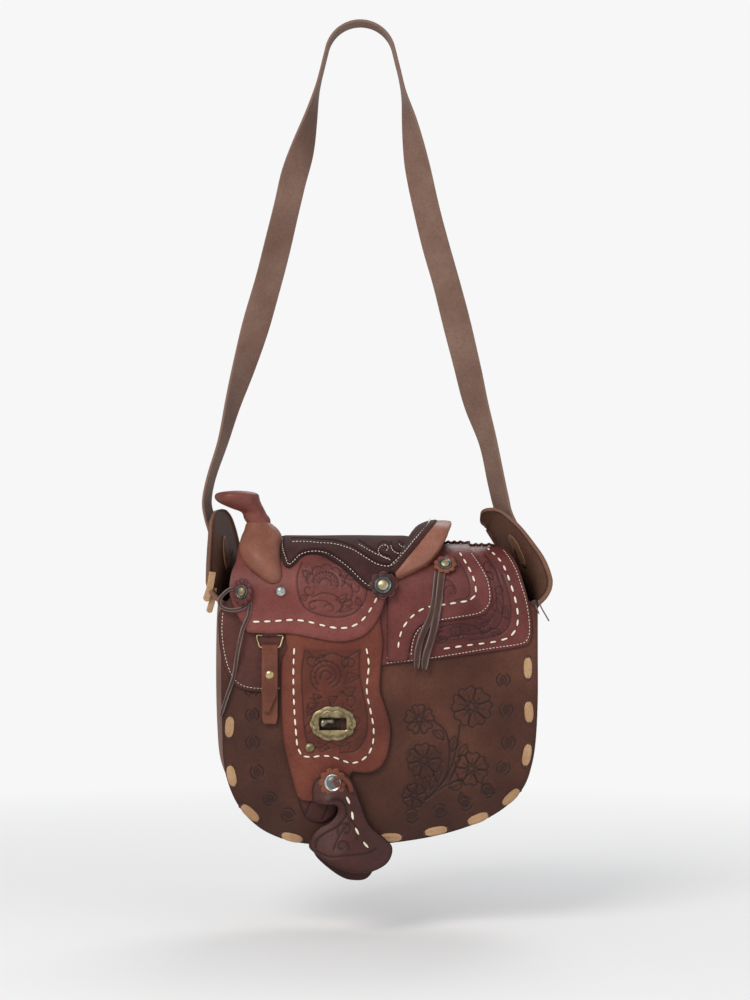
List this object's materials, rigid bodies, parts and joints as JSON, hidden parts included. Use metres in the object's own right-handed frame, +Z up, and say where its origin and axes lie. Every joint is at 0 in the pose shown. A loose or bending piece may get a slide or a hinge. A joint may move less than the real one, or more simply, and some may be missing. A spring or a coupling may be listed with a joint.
{
  "type": "saddle-shaped shoulder handbag",
  "caption": "Shoulder handbag shaped like a western saddle: U-shaped leather bag, half-saddle flap with horn, seat, cantle, fender, turn-lock plate and a hooded stirrup",
  "frame": {"origin": "Centre of the peg that the shoulder strap hangs on", "axes": "+X to the right seen from the front, +Y to the back, +Z up"},
  "size_m": [0.3153, 0.1102, 0.7806],
  "materials": {
    "strap_suede": "napped suede-side leather, matt",
    "bag_leather": "satin smooth leather with tooling",
    "gusset_leather": "satin smooth leather",
    "rawhide": "matt rawhide lace",
    "maroon_leather": "semi-gloss tooled leather",
    "fender_leather": "semi-gloss tooled leather",
    "tan_leather": "satin leather",
    "dark_leather": "satin leather",
    "seat_suede": "napped suede, matt",
    "dark_thong": "matt thong with paler cut edges",
    "white_lacing": "cream buckstitch lace",
    "pad_felt": "felt",
    "tree_board": "undyed stiffener leather",
    "tree_wood": "plain pale wood",
    "old_brass": "aged, low-gloss plated brass",
    "brass_wire": "worn polished brass",
    "pewter": "grey white metal"
  },
  "bodies": {
    "strap": {"shoulder_strap": "strap_suede"},
    "bag": {"front_panel": "bag_leather", "back_panel": "bag_leather", "side_gusset": "gusset_leather", "front_lacing": "rawhide", "back_lacing": "rawhide", "strap_tie_left": "rawhide", "strap_tie_right": "rawhide", "strap_tongue_left": "gusset_leather", "strap_tongue_right": "gusset_leather", "lace_ends_left": "rawhide", "lace_ends_right": "dark_thong", "back_skirt": "maroon_leather", "lock_base": "old_brass", "lock_washer": "old_brass"},
    "key": {"turn_key": "old_brass"},
    "flap": {"skirt": "maroon_leather", "front_skirt": "maroon_leather", "saddle_tree": "tree_board", "fender_root": "fender_leather", "rear_jockey": "maroon_leather", "front_jockey": "maroon_leather", "skirt_lacing": "white_lacing", "rear_jockey_lacing": "white_lacing", "front_jockey_lacing": "white_lacing", "ridge_lacing": "dark_thong", "seat_pad": "pad_felt", "seat_cover": "seat_suede", "swell_core": "tree_wood", "swell_cover": "tan_leather", "horn_neck": "maroon_leather", "horn_cap": "maroon_leather", "cantle": "tan_leather", "rosette_front": "maroon_leather", "rosette_seat": "dark_leather", "rosette_rear": "dark_leather", "concho_front": "old_brass", "concho_seat": "pewter", "concho_rear": "pewter", "dome_rivet": "pewter", "dee_tab": "maroon_leather", "front_loop": "dark_thong"},
    "dee": {"dee_ring": "brass_wire"},
    "latigo_strap": {"latigo": "tan_leather", "latigo_rivet": "brass_wire"},
    "fender_leaf": {"fender": "fender_leather", "fender_lacing": "white_lacing", "lock_plate": "old_brass", "lock_rivets": "old_brass", "fender_rivet": "brass_wire", "stirrup_leather": "dark_leather", "stirrup_rosette": "gusset_leather", "stirrup_concho": "pewter", "stirrup_knot": "dark_thong"},
    "stirrup": {"stirrup_hood": "dark_leather", "stirrup_back": "dark_leather", "stirrup_tread": "tree_wood", "stirrup_lacing": "white_lacing"},
    "front_string": {"front_strings": "dark_thong"},
    "rear_string": {"rear_strings": "seat_suede"}
  },
  "joints": [
    {"name": "bag_swing", "type": "hinge", "parent": "strap", "child": "bag", "pos_m": [-0.12542, -0.005, -0.4535], "axis": [1, 0, 0], "range_deg": [-6, 8]},
    {"name": "key_turn", "type": "hinge", "parent": "bag", "child": "key", "pos_m": [-0.02927, -0.042, -0.6052], "axis": [0, 1, 0], "range_deg": [0, 90]},
    {"name": "flap_open", "type": "hinge", "parent": "bag", "child": "flap", "pos_m": [0, 0.008, -0.44912], "axis": [-1, 0, 0], "range_deg": [0, 55]},
    {"name": "fender_lift", "type": "hinge", "parent": "flap", "child": "fender_leaf", "pos_m": [-0.02517, -0.0474, -0.53507], "axis": [-1, 0, 0], "range_deg": [0, 60]},
    {"name": "stirrup_swing", "type": "hinge", "parent": "fender_leaf", "child": "stirrup", "pos_m": [-0.02248, -0.049, -0.66043], "axis": [0, 1, 0], "range_deg": [-12, 12]},
    {"name": "dee_swing", "type": "hinge", "parent": "flap", "child": "dee", "pos_m": [-0.08092, -0.0462, -0.52819], "axis": [-1, 0, 0], "range_deg": [0, 35]},
    {"name": "latigo_swing", "type": "hinge", "parent": "dee", "child": "latigo_strap", "pos_m": [-0.08092, -0.04849, -0.53894], "axis": [-1, 0, 0], "range_deg": [0, 40]},
    {"name": "front_string_swing", "type": "hinge", "parent": "flap", "child": "front_string", "pos_m": [-0.09979, -0.0517, -0.50525], "axis": [-1, 0, 0], "range_deg": [0, 50]},
    {"name": "rear_string_swing", "type": "hinge", "parent": "flap", "child": "rear_string", "pos_m": [0.07372, -0.0471, -0.47241], "axis": [-1, 0, 0], "range_deg": [0, 40]}
  ]
}
